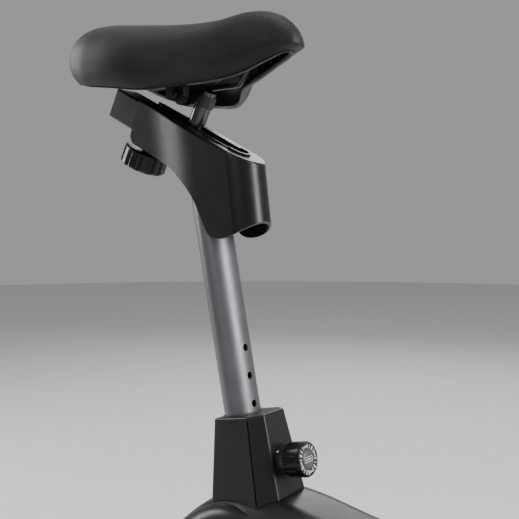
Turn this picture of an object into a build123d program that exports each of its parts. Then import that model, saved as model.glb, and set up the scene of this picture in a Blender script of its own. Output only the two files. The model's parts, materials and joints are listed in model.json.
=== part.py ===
from build123d import *

import os
from math import asin, atan2, cos, radians, sin

# Upright exercise bike: welded steel frame, moulded casing, a saddle that slides on a pin-locked
# post, a belt-driven flywheel with a magnetic brake, a tilting handlebar and a console.
#
# Millimetres. +X is forwards, the way the rider faces, +Y is the rider's left and +Z is up.
# The origin is on the floor, under the middle of the bike.

os.makedirs("parts", exist_ok=True)

# ---------------------------------------------------------------- driving dimensions
SLACK = 0.3  # between pieces that slide or pass each other
RUNNING = 0.08  # radial clearance of a shaft that turns in its bore

# Base
BEAM_WIDTH = 80
BEAM_BOTTOM = 42
BEAM_TOP = 82
BEAM_WALL = 3
FRONT_BAR_X = 505
REAR_BAR_X = -515
BAR_Z = 48
BAR_R = 25
BAR_HALF = 238
CAP_R = 30
CAP_INNER_Y = 205
FRONT_CAP_Y = 243
REAR_CAP_Y = 268
SOLE_Z = 15
FOOT_Y = REAR_CAP_Y - 15
WHEEL_R = 30
WHEEL_X = FRONT_BAR_X + 10
WHEEL_Z = 36
BOLT_R = 4

# Seat post line: it leans back and passes through COLLAR_TOP
POST_LEAN = radians(11.2)
COLLAR_TOP = Vector(-190, 0, 520)
POST_WIDTH = 54  # across the bike
POST_DEPTH = 40  # fore and aft
POST_WALL = 2.5
POST_BOTTOM = -262
HOLE_R = 4.6
HOLE_PITCH = 35
HOLES_ABOVE = 4
HOLES_BELOW = 3
PIN_DEPTH = 60.7  # the locking pin is this far below the collar's top
PIN_R = 4.2
TUBE_TOP = -38
TUBE_BOTTOM = -500
LINER_BOTTOM = -150

# Saddle slide: a square tube that falls towards the front
SLIDE_FALL = radians(27)
SLIDE_REAR_TOP = Vector(-389.4, 0, 940.5)
SLIDE_SIZE = 40
SLIDE_WALL = 2.5
SLIDE_LENGTH = 190
GUIDE_WALL = 1.5
GUIDE_START = 57
GUIDE_END = 213
PILLAR_AT = 136  # along the slide, from its rear end
PILLAR_R = 11.1
PILLAR_TOP = 52
SLOT_WIDTH = 25
SLOT_END = 228
HOOD_TOP = 3.6
HOOD_BOTTOM = -54
HOOD_WALL = 1.7
SLIDE_KNOB_AT = 71
SLIDE_KNOB_R = 31

# Saddle clamp and rails
CLAMP_X = -278
CLAMP_Z = 921
RAIL_R = 3.5
RAIL_Y = 22
RAIL_Z = 932.5

# Drive
CRANK_X = -20
CRANK_Z = 290
CRANK_LENGTH = 170
ARM_INNER_Y = 78
ARM_OUTER_Y = 92
AXLE_R = 10
BB_R = 25
BB_HALF = 34
BEARING_R = 21
FLYWHEEL_X = 152
FLYWHEEL_Z = 207
FLYWHEEL_R = 115
FLYWHEEL_HALF = 14
SHAFT_R = 8.5
PULLEY_R = 95
SMALL_PULLEY_R = 19
BELT_Y = 45  # middle of the belt's width
BELT_WIDTH = 12
BELT_THICK = 3
BRAKE_X = 66
BRAKE_Z = 330
SPINDLE_R = 7
SPINDLE_END = 196

# Casing
CASING_HALF = 64
CASING_EDGE_R = 41
CASING_WALL = 3.2
CASING_BOTTOM = 60
CASING_TOP = 550
CASING_SEAM = 0.15
PANEL_RISE = 4
PANEL_EDGE_R = 22

# Mast, bars and console
MAST_LEAN = radians(3)
MAST_FOOT = Vector(304, 0, BEAM_TOP)
MAST_WIDTH = 50
MAST_DEPTH = 38
MAST_WALL = 2.5
MAST_LENGTH = 1014
BAR_X = 358
BAR_AXIS_Z = 1128
BAR_TUBE_R = 14
GRIP_R = 17.5
GRIP_Y = 245
CLAMP_BLOCK_Z = 1097
CLAMP_BLOCK_TOP = 1157
BAR_KNOB_X = 398
CONSOLE_CENTRE = Vector(372, 0, 1292)
CONSOLE_TILT = radians(35)
CONSOLE_WIDTH = 230
CONSOLE_HEIGHT = 170
CONSOLE_DEPTH = 34
BUTTON_R = 8

# ---------------------------------------------------------------- directions, planes, helpers
post_up = Vector(-sin(POST_LEAN), 0, cos(POST_LEAN))
post_front = Vector(cos(POST_LEAN), 0, sin(POST_LEAN))
slide_along = Vector(cos(SLIDE_FALL), 0, -sin(SLIDE_FALL))
slide_up = Vector(sin(SLIDE_FALL), 0, cos(SLIDE_FALL))
mast_up = Vector(sin(MAST_LEAN), 0, cos(MAST_LEAN))
mast_front = Vector(cos(MAST_LEAN), 0, -sin(MAST_LEAN))
console_up = Vector(sin(CONSOLE_TILT), 0, cos(CONSOLE_TILT))
console_out = Vector(-cos(CONSOLE_TILT), 0, sin(CONSOLE_TILT))


def post_plane(height):
    """Across the post, at a height along it above the collar's top. Local X points forwards."""
    return Plane(COLLAR_TOP + post_up * height, x_dir=post_front, z_dir=post_up)


def pin_plane(out):
    """Faces forwards on the locking pin's axis, at a distance in front of the post's axis."""
    at = COLLAR_TOP - post_up * PIN_DEPTH + post_front * out
    return Plane(at, x_dir=(0, 1, 0), z_dir=post_front)


def slide_plane(height):
    """Parallel to the slide's top face and above it. Local X runs down the slide from its rear."""
    return Plane(SLIDE_REAR_TOP + slide_up * height, x_dir=slide_along, z_dir=slide_up)


def slide_section(along):
    """Across the slide tube, facing down it, centred on the tube."""
    at = SLIDE_REAR_TOP + slide_along * along - slide_up * (SLIDE_SIZE / 2)
    return Plane(at, x_dir=(0, 1, 0), z_dir=slide_along)


def slide_point(along, height):
    """A point of the slide's middle plane, as (X, Z)."""
    at = SLIDE_REAR_TOP + slide_along * along + slide_up * height
    return (at.X, at.Z)


def mast_plane(height):
    """Across the mast, at a height along it above its foot. Local X points forwards."""
    return Plane(MAST_FOOT + mast_up * height, x_dir=mast_front, z_dir=mast_up)


def console_plane(out):
    """Parallel to the console's face, out from its middle. Local Y points up the face."""
    return Plane(CONSOLE_CENTRE + console_out * out, x_dir=(0, -1, 0), z_dir=console_out)


def face_left(y):
    """Parallel to the middle plane and facing left, so that local X is -X and local Y is Z."""
    return Plane((0, y, 0), x_dir=(-1, 0, 0), z_dir=(0, 1, 0))


def save(piece, name):
    """Labels a finished piece and writes it as one STEP file."""
    piece.part.label = name
    export_step(piece.part, f"parts/{name}.step")


def disc(x, z, r, y_from, y_to):
    """A cylinder along Y."""
    with BuildPart(mode=Mode.PRIVATE) as made:
        with BuildSketch(face_left(y_from)):
            with Locations((-x, z)):
                Circle(r)
        extrude(amount=y_to - y_from)
    return made.part


def round_bar(plane, radius, length, offset_x=0):
    """A round bar along a plane's normal, offset along its local X."""
    with BuildPart(mode=Mode.PRIVATE) as made:
        with BuildSketch(plane):
            with Locations((offset_x, 0)):
                Circle(radius)
        extrude(amount=length)
    return made.part


def post_bar(width, depth, low, high):
    """An elliptical bar along the post's line, between two heights above the collar's top."""
    with BuildPart(mode=Mode.PRIVATE) as made:
        with BuildSketch(post_plane(low)):
            Ellipse(depth / 2, width / 2)
        extrude(amount=high - low)
    return made.part


def pin_bar(radius, start, end):
    """A round bar on the locking pin's axis, between two distances from the post's axis."""
    return round_bar(pin_plane(start), radius, end - start)


def slide_bar(radius, along, low, high):
    """A round bar standing square to the slide, between two heights over its top face."""
    return round_bar(slide_plane(low), radius, high - low, along)


def slide_box(size, radius, start, end):
    """A square bar along the slide tube's centre line."""
    with BuildPart(mode=Mode.PRIVATE) as made:
        with BuildSketch(slide_section(start)):
            RectangleRounded(size, size, radius)
        extrude(amount=end - start)
    return made.part


def mast_bar(grow, low, high):
    """A bar of the mast's oval section, grown all round, between two heights above its foot."""
    with BuildPart(mode=Mode.PRIVATE) as made:
        with BuildSketch(mast_plane(low)):
            SlotOverall(MAST_WIDTH + 2 * grow, MAST_DEPTH + 2 * grow, rotation=90)
        extrude(amount=high - low)
    return made.part


def shrunk(outline, amount):
    """The edges of a closed outline moved inwards, with its curves fitted again as splines."""
    if not amount:
        return outline.edges()
    with BuildLine(mode=Mode.PRIVATE) as made:
        for edge in Wire(outline.edges()).offset_2d(-amount).edges():
            if edge.geom_type == GeomType.LINE:
                Line(edge @ 0, edge @ 1)
            else:
                Spline([edge @ (step / 24) for step in range(25)])
    return made.line.edges()


def save_pair(left_piece, name):
    """Writes a left-hand piece and its mirror image."""
    with BuildPart() as left:
        add(left_piece)
    save(left, f"{name}_left")
    with BuildPart() as right:
        add(left_piece.mirror(Plane.XZ))
    save(right, f"{name}_right")


# ---------------------------------------------------------------- base
with BuildPart() as base_beam:
    beam_z = (BEAM_BOTTOM + BEAM_TOP) / 2
    beam_height = BEAM_TOP - BEAM_BOTTOM
    with Locations(((FRONT_BAR_X + REAR_BAR_X) / 2, 0, beam_z)):
        Box(FRONT_BAR_X - REAR_BAR_X, BEAM_WIDTH, beam_height)
    fillet(base_beam.edges().filter_by(Axis.X), 4)
    # curved plates that hug the stabilisers
    for bar_x in (REAR_BAR_X, FRONT_BAR_X):
        add(disc(bar_x, BAR_Z, BAR_R + 5, -BEAM_WIDTH / 2, BEAM_WIDTH / 2))
    with Locations(((FRONT_BAR_X + REAR_BAR_X) / 2, 0, beam_z)):
        Box(950, BEAM_WIDTH - 2 * BEAM_WALL, beam_height - 2 * BEAM_WALL, mode=Mode.SUBTRACT)
    split(bisect_by=Plane((REAR_BAR_X, 0, 0), z_dir=(1, 0, 0)), keep=Keep.TOP)
    split(bisect_by=Plane((FRONT_BAR_X, 0, 0), z_dir=(1, 0, 0)), keep=Keep.BOTTOM)
    for bar_x in (REAR_BAR_X, FRONT_BAR_X):
        add(disc(bar_x, BAR_Z, BAR_R + 0.1, -60, 60), mode=Mode.SUBTRACT)
    with Locations(*[(x, y, BAR_Z) for x in (REAR_BAR_X, FRONT_BAR_X) for y in (-22, 22)]):
        Cylinder(BOLT_R, 130, rotation=(0, 90, 0), mode=Mode.SUBTRACT)
save(base_beam, "base_beam")


def stabiliser(bar_x):
    """A round cross tube, drilled for the two bolts that hold it to the beam."""
    with BuildPart() as made:
        with Locations((bar_x, 0, BAR_Z)):
            Cylinder(BAR_R, 2 * BAR_HALF, rotation=(90, 0, 0))
            Cylinder(BAR_R - 2.5, 2 * BAR_HALF, rotation=(90, 0, 0), mode=Mode.SUBTRACT)
        with Locations((bar_x, -22, BAR_Z), (bar_x, 22, BAR_Z)):
            Cylinder(BOLT_R, 3 * BAR_R, rotation=(0, 90, 0), mode=Mode.SUBTRACT)
    return made


save(stabiliser(FRONT_BAR_X), "front_stabiliser")
save(stabiliser(REAR_BAR_X), "rear_stabiliser")


def end_cap(bar_x, outer_y, sole_z):
    """A moulded cap that sleeves a stabiliser's left end and carries a foot block."""
    depth = outer_y - CAP_INNER_Y
    middle_y = (outer_y + CAP_INNER_Y) / 2
    with BuildPart() as made:
        with Locations((bar_x, middle_y, BAR_Z)):
            Cylinder(CAP_R, depth, rotation=(90, 0, 0))
        with Locations((bar_x, middle_y, (BAR_Z + sole_z) / 2)):
            Box(2 * CAP_R - 6, depth, BAR_Z - sole_z)
        fillet(made.faces().sort_by(Axis.Y)[-1].outer_wire().edges(), 3)
        add(disc(bar_x, BAR_Z, BAR_R + 0.1, CAP_INNER_Y - 10, BAR_HALF + 0.2), mode=Mode.SUBTRACT)
    return made.part


front_cap = end_cap(FRONT_BAR_X, FRONT_CAP_Y, 0)
rear_cap = end_cap(REAR_BAR_X, REAR_CAP_Y, SOLE_Z)

with BuildPart() as stabiliser_end_caps:
    for cap in (front_cap, rear_cap):
        add(cap)
        add(cap.mirror(Plane.XZ))
    with Locations((REAR_BAR_X, FOOT_Y, SOLE_Z), (REAR_BAR_X, -FOOT_Y, SOLE_Z)):
        Cylinder(4 + RUNNING, 44, mode=Mode.SUBTRACT)
    add(disc(WHEEL_X, WHEEL_Z, BOLT_R, -FRONT_CAP_Y - 5, FRONT_CAP_Y + 5), mode=Mode.SUBTRACT)
save(stabiliser_end_caps, "stabiliser_end_caps")

with BuildPart() as levelling_foot:
    # a notched disc on a threaded stud, screwed up into the rear cap
    with Locations((REAR_BAR_X, FOOT_Y, 5.5)):
        Cylinder(14, 11)
    chamfer(levelling_foot.edges().filter_by(GeomType.CIRCLE), 1)
    with Locations((REAR_BAR_X, FOOT_Y, 0)):
        with PolarLocations(16, 8):
            Cylinder(3.5, 30, mode=Mode.SUBTRACT)
    with Locations((REAR_BAR_X, FOOT_Y, 21.5)):
        Cylinder(4, 23)
save_pair(levelling_foot.part, "levelling_foot")

with BuildPart() as transport_wheel:
    # a tyred roller outboard of the front cap, clear of the floor until the bike is tipped
    wheel_inner, wheel_outer = FRONT_CAP_Y + 2, REAR_CAP_Y - 1
    add(disc(WHEEL_X, WHEEL_Z, WHEEL_R, wheel_inner, wheel_outer))
    fillet(transport_wheel.edges().filter_by(GeomType.CIRCLE), 4)
    add(disc(WHEEL_X, WHEEL_Z, 19, wheel_outer - 3, wheel_outer), mode=Mode.SUBTRACT)
    add(disc(WHEEL_X, WHEEL_Z, BOLT_R + RUNNING, wheel_inner, wheel_outer), mode=Mode.SUBTRACT)
save_pair(transport_wheel.part, "transport_wheel")

with BuildPart() as frame_bolts:
    # through bolts of the stabilisers, with a domed nut outside each
    for bar_x, way in ((REAR_BAR_X, -1), (FRONT_BAR_X, 1)):
        nut_x = bar_x + way * (BAR_R + 1.5)
        with Locations((nut_x, -22, BAR_Z), (nut_x, 22, BAR_Z)):
            Cylinder(7, 7, rotation=(0, 90, 0))
        add(disc(bar_x, BAR_Z, BAR_R, -40, 40), mode=Mode.SUBTRACT)
        with Locations((bar_x, -22, BAR_Z), (bar_x, 22, BAR_Z)):
            Cylinder(BOLT_R, 2 * BAR_R + 10, rotation=(0, 90, 0))
    # shoulder screws of the transport wheels
    for side in (-1, 1):
        with Locations((WHEEL_X, side * 251, WHEEL_Z)):
            Cylinder(BOLT_R, 26, rotation=(90, 0, 0))
        with Locations((WHEEL_X, side * 265.6, WHEEL_Z)):
            Cylinder(7.5, 2.4, rotation=(90, 0, 0))
save(frame_bolts, "frame_bolts")

# ---------------------------------------------------------------- seat tube in the frame
BORE_WIDTH = POST_WIDTH + 4
BORE_DEPTH = POST_DEPTH + 4
TUBE_WIDTH = BORE_WIDTH + 5
TUBE_DEPTH = BORE_DEPTH + 5

with BuildPart() as seat_tube:
    add(post_bar(TUBE_WIDTH, TUBE_DEPTH, TUBE_BOTTOM, TUBE_TOP))
    add(post_bar(BORE_WIDTH, BORE_DEPTH, TUBE_BOTTOM, TUBE_TOP), mode=Mode.SUBTRACT)
    split(bisect_by=Plane.XY.offset(BEAM_TOP), keep=Keep.TOP)
    add(pin_bar(6, 0, 60), mode=Mode.SUBTRACT)
save(seat_tube, "seat_tube")

with BuildPart() as seat_tube_liner:
    add(post_bar(BORE_WIDTH - 0.1, BORE_DEPTH - 0.1, LINER_BOTTOM, 0))
    add(post_bar(POST_WIDTH + 2 * SLACK, POST_DEPTH + 2 * SLACK, LINER_BOTTOM, 0), mode=Mode.SUBTRACT)
    add(pin_bar(6, 0, 60), mode=Mode.SUBTRACT)
save(seat_tube_liner, "seat_tube_liner")

# ---------------------------------------------------------------- crank, belt and flywheel
with BuildPart() as bottom_bracket:
    # a brace back to the seat tube and a strut down to the beam
    brace_back = -145
    with Locations(((CRANK_X + brace_back) / 2, 0, CRANK_Z)):
        Box(CRANK_X - brace_back, 26, 30)
    with Locations((CRANK_X, 0, (CRANK_Z + BEAM_TOP) / 2)):
        Box(32, 26, CRANK_Z - BEAM_TOP)
    add(post_bar(TUBE_WIDTH, TUBE_DEPTH, TUBE_BOTTOM, 0), mode=Mode.SUBTRACT)
    add(disc(CRANK_X, CRANK_Z, BB_R, -BB_HALF, BB_HALF))
    add(disc(CRANK_X, CRANK_Z, BEARING_R, -BB_HALF, BB_HALF), mode=Mode.SUBTRACT)
save(bottom_bracket, "bottom_bracket")

with BuildPart() as crank_bearings:
    for bearing_y in (-BB_HALF + 1, BB_HALF - 13):
        add(disc(CRANK_X, CRANK_Z, BEARING_R, bearing_y, bearing_y + 12))
        add(disc(CRANK_X, CRANK_Z, AXLE_R + RUNNING, bearing_y, bearing_y + 12), mode=Mode.SUBTRACT)
save(crank_bearings, "crank_bearings")

belt_near = BELT_Y - BELT_WIDTH / 2
belt_far = BELT_Y + BELT_WIDTH / 2

with BuildPart() as crank_axle:
    add(disc(CRANK_X, CRANK_Z, AXLE_R, -ARM_INNER_Y, ARM_INNER_Y))
    add(disc(CRANK_X, CRANK_Z, SPINDLE_R, -ARM_OUTER_Y - 2, ARM_OUTER_Y + 2))
    # flange that the pulley is riveted to
    add(disc(CRANK_X, CRANK_Z, 24, belt_near - 3, belt_near - 1))
save(crank_axle, "crank_axle")

with BuildPart() as crank_pulley:
    add(disc(CRANK_X, CRANK_Z, PULLEY_R, belt_near - 1, belt_far + 1))
    add(disc(CRANK_X, CRANK_Z, PULLEY_R - 9, BELT_Y + 2, belt_far + 1), mode=Mode.SUBTRACT)
    add(disc(CRANK_X, CRANK_Z, PULLEY_R - 9, belt_near - 1, BELT_Y - 2), mode=Mode.SUBTRACT)
    with BuildSketch(face_left(belt_near - 1)):
        with Locations((-CRANK_X, CRANK_Z)):
            with PolarLocations(68, 6):
                Circle(21)
    extrude(amount=BELT_WIDTH + 2, mode=Mode.SUBTRACT)
    add(disc(CRANK_X, CRANK_Z, 30, belt_near - 1, belt_far + 1))
    add(disc(CRANK_X, CRANK_Z, AXLE_R, belt_near - 1, belt_far + 1), mode=Mode.SUBTRACT)
save(crank_pulley, "crank_pulley")

belt_run = Vector(FLYWHEEL_X - CRANK_X, FLYWHEEL_Z - CRANK_Z)
belt_heading = atan2(belt_run.Y, belt_run.X)
belt_wrap = asin((PULLEY_R - SMALL_PULLEY_R) / belt_run.length)
belt_upper = belt_heading + radians(90) - belt_wrap
belt_lower = belt_heading - radians(90) + belt_wrap
belt_back = belt_heading + radians(180)


def rim(x, z, r, angle):
    """A point at a radius and an angle around a centre, in face_left's coordinates."""
    return (-x - r * cos(angle), z + r * sin(angle))


def belt_slab(extra):
    """The belt's outline, grown outwards by extra, as a slab of the belt's width."""
    crank = (CRANK_X, CRANK_Z, PULLEY_R + SLACK + extra)
    wheel = (FLYWHEEL_X, FLYWHEEL_Z, SMALL_PULLEY_R + SLACK + extra)
    with BuildPart() as made:
        with BuildSketch(face_left(belt_near)):
            with BuildLine():
                Line(rim(*crank, belt_upper), rim(*wheel, belt_upper))
                ThreePointArc(rim(*wheel, belt_upper), rim(*wheel, belt_heading), rim(*wheel, belt_lower))
                Line(rim(*wheel, belt_lower), rim(*crank, belt_lower))
                ThreePointArc(rim(*crank, belt_lower), rim(*crank, belt_back), rim(*crank, belt_upper))
            make_face()
        extrude(amount=BELT_WIDTH)
    return made.part


belt_outside = belt_slab(BELT_THICK)
belt_inside = belt_slab(0)

with BuildPart() as drive_belt:
    add(belt_outside)
    add(belt_inside, mode=Mode.SUBTRACT)
save(drive_belt, "drive_belt")

with BuildPart() as flywheel:
    add(disc(FLYWHEEL_X, FLYWHEEL_Z, FLYWHEEL_R, -FLYWHEEL_HALF, FLYWHEEL_HALF))
    chamfer(flywheel.edges().filter_by(GeomType.CIRCLE), 1.5)
    add(disc(FLYWHEEL_X, FLYWHEEL_Z, 88, -FLYWHEEL_HALF, -5), mode=Mode.SUBTRACT)
    add(disc(FLYWHEEL_X, FLYWHEEL_Z, 88, 5, FLYWHEEL_HALF), mode=Mode.SUBTRACT)
    with BuildSketch(face_left(-FLYWHEEL_HALF)):
        with Locations((-FLYWHEEL_X, FLYWHEEL_Z)):
            with PolarLocations(58, 5):
                Circle(17)
    extrude(amount=2 * FLYWHEEL_HALF, mode=Mode.SUBTRACT)
    add(disc(FLYWHEEL_X, FLYWHEEL_Z, 26, -FLYWHEEL_HALF, FLYWHEEL_HALF))
    add(disc(FLYWHEEL_X, FLYWHEEL_Z, SHAFT_R, -FLYWHEEL_HALF, FLYWHEEL_HALF), mode=Mode.SUBTRACT)
save(flywheel, "flywheel")

with BuildPart() as flywheel_shaft:
    add(disc(FLYWHEEL_X, FLYWHEEL_Z, SHAFT_R, -34, belt_far + 1))
    add(disc(FLYWHEEL_X, FLYWHEEL_Z, SMALL_PULLEY_R, belt_near - 1, belt_far + 1))
save(flywheel_shaft, "flywheel_shaft")

with BuildPart() as flywheel_bracket:
    # two plates up from the beam carry the shaft, the brake's pin and the brake's motor
    for plate_y in (-28, 23):
        with BuildSketch(face_left(plate_y)):
            with BuildLine():
                Polyline((-128, BEAM_TOP), (-178, BEAM_TOP), (-178, 225), (-100, 364), (-46, 364),
                         (-46, 312), (-128, 225), close=True)
            make_face()
        extrude(amount=5)
    for bearing_y in (-28, 18):
        add(disc(FLYWHEEL_X, FLYWHEEL_Z, 20, bearing_y, bearing_y + 10))
    add(disc(FLYWHEEL_X, FLYWHEEL_Z, SHAFT_R + RUNNING, -40, 40), mode=Mode.SUBTRACT)
    add(disc(BRAKE_X, BRAKE_Z, 5, -31, 31))
save(flywheel_bracket, "flywheel_bracket")


def brake_arc(inner, outer, start, end, half):
    """A curved slab around the flywheel's centre, between two angles in degrees."""
    wheel = (FLYWHEEL_X, FLYWHEEL_Z)
    angles = [radians(a) for a in (start, (start + end) / 2, end)]
    with BuildPart(mode=Mode.PRIVATE) as made:
        with BuildSketch(face_left(-half)):
            with BuildLine():
                outer_arc = ThreePointArc(*[rim(*wheel, outer, a) for a in angles])
                inner_arc = ThreePointArc(*[rim(*wheel, inner, a) for a in angles])
                Line(outer_arc @ 0, inner_arc @ 0)
                Line(outer_arc @ 1, inner_arc @ 1)
            make_face()
        extrude(amount=2 * half)
    return made.part


with BuildPart() as brake_arm:
    # ears that turn on the bracket's pin, a curved yoke over the rim and a row of magnets
    with Locations((BRAKE_X + 10, 0, BRAKE_Z - 5)):
        Box(36, 36, 22)
    add(disc(FLYWHEEL_X, FLYWHEEL_Z, 128, -18, 18), mode=Mode.SUBTRACT)
    add(disc(BRAKE_X, BRAKE_Z, 10, -18, 18))
    add(brake_arc(128, 133, 60, 122, 18))
    for magnet_start in range(64, 112, 12):
        add(brake_arc(122.5, 128, magnet_start, magnet_start + 9, 12))
    add(disc(BRAKE_X, BRAKE_Z, 5 + RUNNING, -20, 20), mode=Mode.SUBTRACT)
save(brake_arm, "brake_arm")

with BuildPart() as brake_motor:
    with Locations((BRAKE_X + 8, 0, 379)):
        Box(52, 56, 30)
    fillet(brake_motor.edges().filter_by(Axis.Z), 5)
    with Locations((BRAKE_X + 8, 0, 395)):
        Cylinder(13, 4)
save(brake_motor, "brake_motor")

PEDAL_FRONT_X = CRANK_X + CRANK_LENGTH
PEDAL_BACK_X = CRANK_X - CRANK_LENGTH

with BuildPart() as left_arm:
    # a flat forged arm that carries a pedal spindle
    with BuildSketch(face_left(ARM_INNER_Y)):
        with BuildLine():
            Polyline((-CRANK_X, CRANK_Z + 17), (-PEDAL_FRONT_X, CRANK_Z + 12),
                     (-PEDAL_FRONT_X, CRANK_Z - 12), (-CRANK_X, CRANK_Z - 17), close=True)
        make_face()
        with Locations((-CRANK_X, CRANK_Z)):
            Circle(20)
        with Locations((-PEDAL_FRONT_X, CRANK_Z)):
            Circle(14)
    extrude(amount=ARM_OUTER_Y - ARM_INNER_Y)
    fillet(left_arm.faces().sort_by(Axis.Y)[-1].edges(), 3)
    add(disc(CRANK_X, CRANK_Z, SPINDLE_R, ARM_INNER_Y, ARM_OUTER_Y), mode=Mode.SUBTRACT)
    add(disc(PEDAL_FRONT_X, CRANK_Z, SPINDLE_R, ARM_INNER_Y, ARM_OUTER_Y), mode=Mode.SUBTRACT)

with BuildPart() as crank_arms:
    add(left_arm.part)
    add(left_arm.part.rotate(Axis((CRANK_X, 0, CRANK_Z), (0, 0, 1)), 180))
save(crank_arms, "crank_arms")

with BuildPart() as pedal_spindles:
    add(disc(PEDAL_FRONT_X, CRANK_Z, SPINDLE_R, ARM_INNER_Y, SPINDLE_END))
    add(disc(PEDAL_BACK_X, CRANK_Z, SPINDLE_R, -SPINDLE_END, -ARM_INNER_Y))
save(pedal_spindles, "pedal_spindles")

pedal_inner = ARM_OUTER_Y + 6
pedal_outer = SPINDLE_END + 8
pedal_middle = (pedal_inner + pedal_outer) / 2
pedal_width = pedal_outer - pedal_inner

with BuildPart() as pedal:
    # a platform weighted below its spindle, with a foot strap over it
    with Locations((0, pedal_middle, -2)):
        Box(88, pedal_width, 22)
    fillet(pedal.edges().filter_by(Axis.Z), 10)
    with Locations((-27, pedal_middle, 0), (27, pedal_middle, 0)):
        Box(20, pedal_width - 24, 40, mode=Mode.SUBTRACT)
    with Locations((0, pedal_middle, -20)):
        Box(28, pedal_width - 16, 16)
    add(disc(0, 0, 11, pedal_inner, pedal_outer))
    strap_half = pedal_width / 2
    with BuildSketch(Plane((-14, pedal_middle, 0), x_dir=(0, 1, 0), z_dir=(1, 0, 0))):
        with BuildLine():
            Line((-strap_half - 2.5, -8), (-strap_half - 2.5, 30))
            ThreePointArc((-strap_half - 2.5, 30), (0, 66), (strap_half + 2.5, 30))
            Line((strap_half + 2.5, 30), (strap_half + 2.5, -8))
            Line((strap_half + 2.5, -8), (strap_half, -8))
            Line((strap_half, -8), (strap_half, 29))
            ThreePointArc((strap_half, 29), (0, 63), (-strap_half, 29))
            Line((-strap_half, 29), (-strap_half, -8))
            Line((-strap_half, -8), (-strap_half - 2.5, -8))
        make_face()
    extrude(amount=28)
    add(disc(0, 0, SPINDLE_R + RUNNING, pedal_inner - 5, SPINDLE_END + 1), mode=Mode.SUBTRACT)

with BuildPart() as pedal_left:
    add(pedal.part.moved(Location((PEDAL_FRONT_X, 0, CRANK_Z))))
save(pedal_left, "pedal_left")

with BuildPart() as pedal_right:
    add(pedal.part.mirror(Plane.XZ).moved(Location((PEDAL_BACK_X, 0, CRANK_Z))))
save(pedal_right, "pedal_right")

# ---------------------------------------------------------------- casing
with BuildLine() as casing_line:
    back = Spline(
        (-285, CASING_BOTTOM), (-330, 120), (-349, 190), (-344, 255), (-322, 310), (-288, 353), (-240, 396.5),
        (-190, 425), (-145, 431), (-100, 428.5), (-40, 418), (30, 408), (90, 405.5), (150, 412), (205, 438),
        (245, 482), (266, CASING_TOP),
    )
    top = Line(back @ 1, (352, CASING_TOP))
    front = Spline(
        top @ 1, (366, 470), (398, 330), (390, 190), (340, CASING_BOTTOM), tangents=((0.1, -1), (-0.5, -1)),
    )
    Line(front @ 1, back @ 0)

with BuildLine() as panel_line:
    swell = Spline(
        (-262, 76), (-320, 140), (-338, 200), (-332, 255), (-312, 307), (-280, 352), (-234, 395), (-190, 417.5),
        (-142, 418), (-100, 404), (-40, 376), (60, 352), (190, 348), (290, 362), (350, 356), (383, 300),
        (377, 190), (322, 76),
    )
    Line(swell @ 1, swell @ 0)


def casing_slab(outline, inset, half, edge_r):
    """A closed side outline as a slab, with its long upper, front and rear edges rounded."""
    with BuildPart() as made:
        with BuildSketch(Plane.XZ.offset(-half)):
            make_face(shrunk(outline, inset))
        extrude(amount=2 * half)
        fillet(made.edges().filter_by(GeomType.LINE, reverse=True), edge_r)
    return made.part


casing_outer = casing_slab(casing_line.line, 0, CASING_HALF, CASING_EDGE_R)
casing_inner = casing_slab(casing_line.line, CASING_WALL, CASING_HALF - CASING_WALL,
                           CASING_EDGE_R - CASING_WALL)

with BuildPart() as casing_form:
    # the sides swell out inside a curved line
    add(casing_outer)
    add(casing_slab(panel_line.line, 0, CASING_HALF + PANEL_RISE, PANEL_EDGE_R))


def clear_casing():
    """Cuts the openings for the beam, seat tube, mast and crank axle."""
    with Locations((0, 0, (CASING_BOTTOM + BEAM_TOP) / 2)):
        Box(900, BEAM_WIDTH + 1, BEAM_TOP - CASING_BOTTOM + 1, mode=Mode.SUBTRACT)
    add(post_bar(TUBE_WIDTH + 4, TUBE_DEPTH + 4, -250, 60), mode=Mode.SUBTRACT)
    add(mast_bar(4, 300, 600), mode=Mode.SUBTRACT)
    add(disc(CRANK_X, CRANK_Z, BB_R + 1, -100, 100), mode=Mode.SUBTRACT)


INLET_R = 7
inlet_plane = Plane((372, 0, 150), x_dir=(0, 1, 0), z_dir=(1, 0, 0))

with BuildPart() as casing_side:
    # two shells that meet along the middle of the bike
    add(casing_form.part)
    add(casing_inner, mode=Mode.SUBTRACT)
    with Locations((0, CASING_SEAM + 60, 300)):
        Box(1000, 120, 700, mode=Mode.INTERSECT)
    clear_casing()
    add(round_bar(inlet_plane, INLET_R, 40), mode=Mode.SUBTRACT)
save_pair(casing_side.part, "casing")

with BuildPart() as power_inlet:
    add(round_bar(inlet_plane, INLET_R, 14))
    add(round_bar(inlet_plane.offset(4), INLET_R - 4, 14), mode=Mode.SUBTRACT)
save(power_inlet, "power_inlet")

# ---------------------------------------------------------------- post collar and locking pin
def collar_section(height, front, front_half, side_front, side_half, rear, rear_half):
    """One level of the collar: a box with its two front corners cut off."""
    with BuildSketch(post_plane(height)) as made:
        with BuildLine():
            Polyline((front, -front_half), (front, front_half), (side_front, side_half), (rear, rear_half),
                     (rear, -rear_half), (side_front, -side_half), close=True)
        make_face()
    return made.sketch


def collar_solid(shrink, top, bottom):
    """The collar's tapered block between two heights, shrunk by the wall where it is hollow."""
    with BuildPart() as made:
        add(collar_section(top, 48 - shrink, 21 - shrink / 2, 32 - shrink / 2, 34 - shrink,
                           -24 + shrink, 30 - shrink))
        add(collar_section(bottom, 57 - shrink, 29 - shrink / 2, 38 - shrink / 2, 50 - shrink,
                           -39 + shrink, 46 - shrink))
        loft()
    return made


COLLAR_WALL = 3
COLLAR_GAP = 0.8
casing_below = casing_form.part.moved(Location((0, 0, COLLAR_GAP)))
collar_hollow = collar_solid(COLLAR_WALL, -2 - COLLAR_WALL, -122).part
collar_block = collar_solid(0, -2, -118)

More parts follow.
